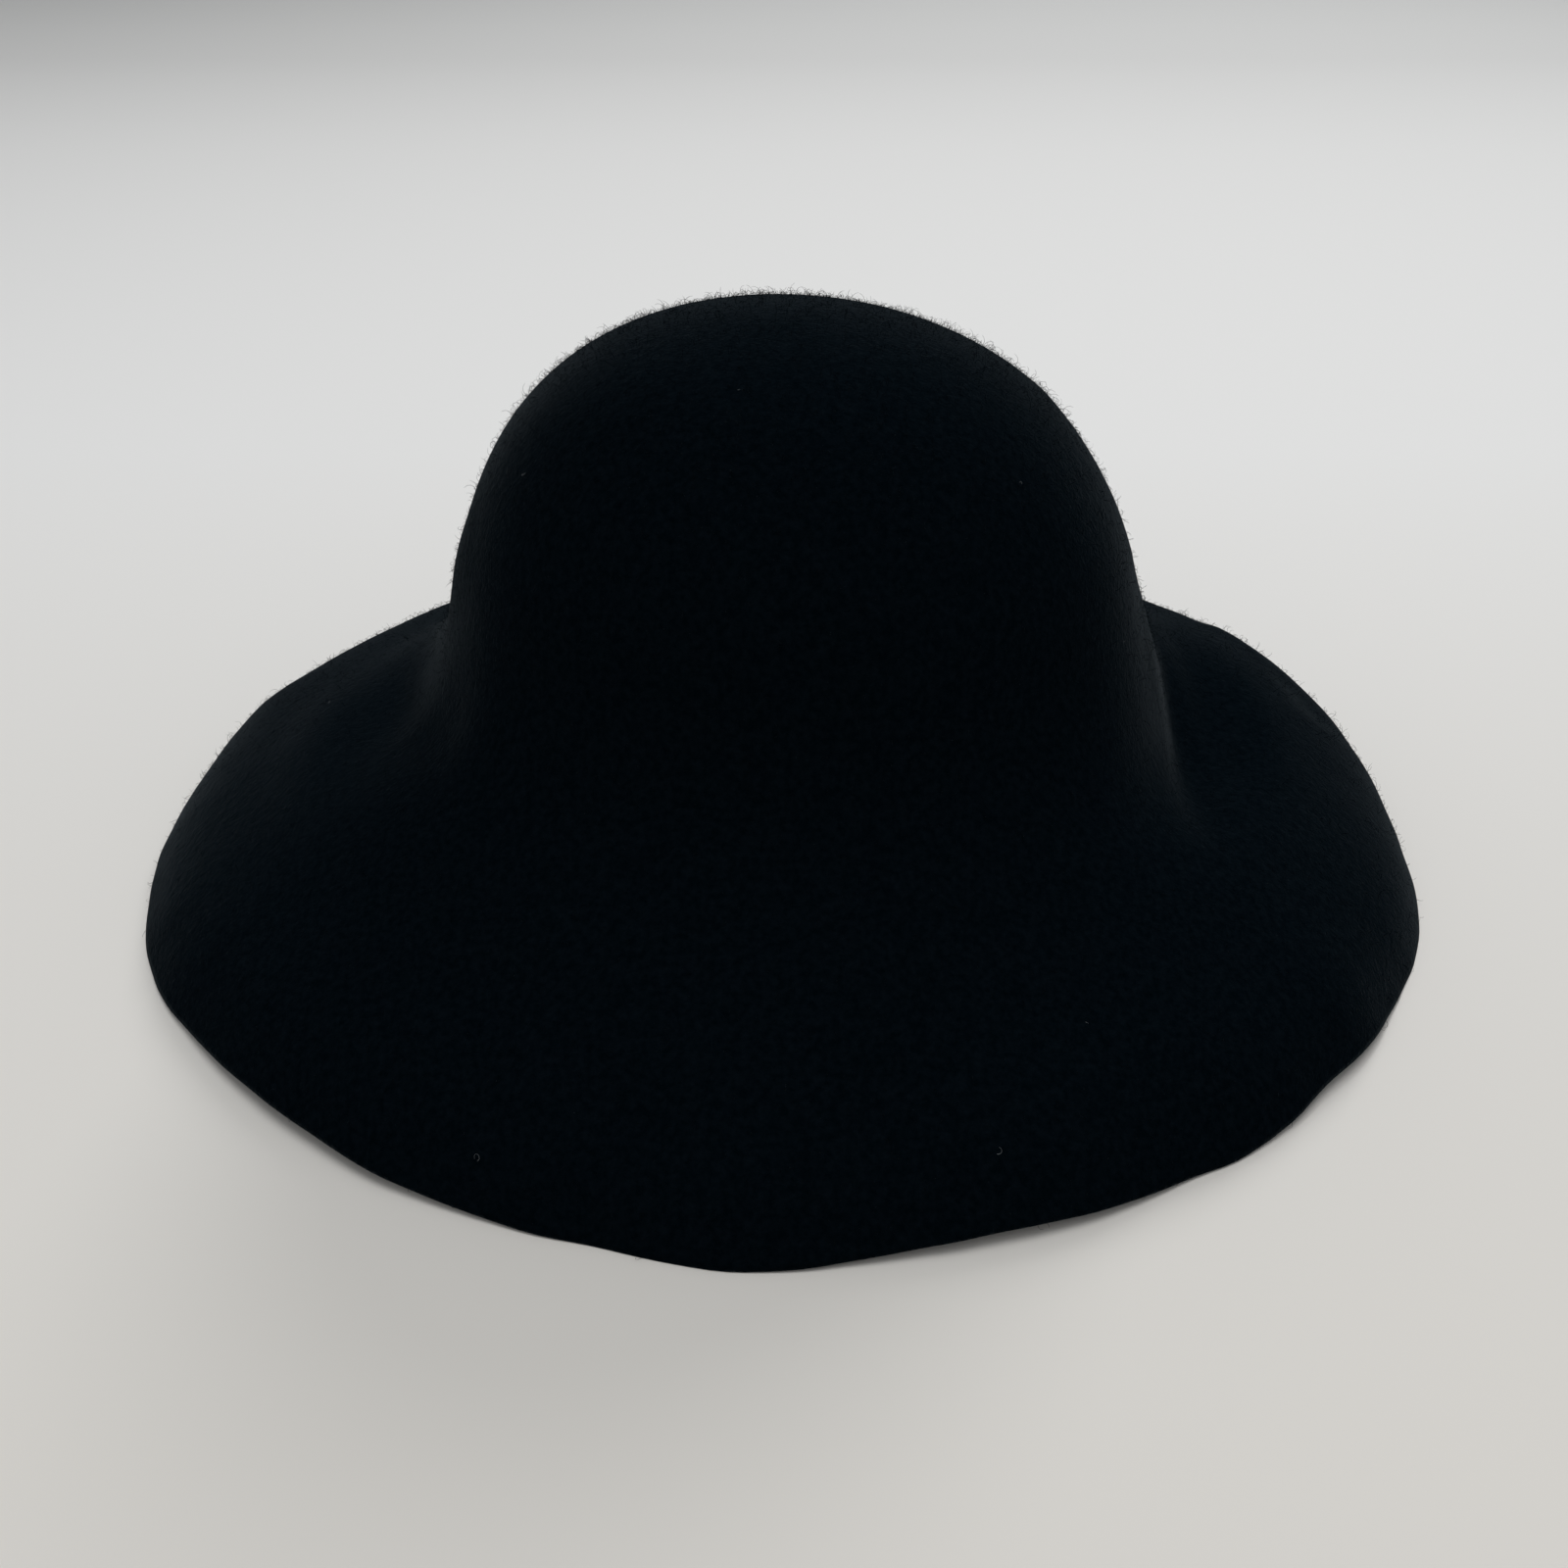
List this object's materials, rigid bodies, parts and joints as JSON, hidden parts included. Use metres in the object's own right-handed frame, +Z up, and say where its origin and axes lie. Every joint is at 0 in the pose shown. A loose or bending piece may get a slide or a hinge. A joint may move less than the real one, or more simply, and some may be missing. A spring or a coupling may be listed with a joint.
{
  "type": "wool hat",
  "caption": "Wool felt hat body with a domed crown that flares into a wide drooping wavy brim, in one piece with a raw cut edge, to be worn or trimmed.",
  "frame": {"origin": "on the surface the hat rests on, below the middle of the brim's outline", "axes": "+Z up through the crown, -Y towards the front of the hat, +X towards the side that is on the right in the picture"},
  "size_m": [0.4006, 0.3963, 0.1675],
  "materials": {
    "wool_felt": "matte, slightly fuzzy black wool felt"
  },
  "bodies": {
    "root": {"felt_body": "wool_felt"}
  },
  "joints": []
}
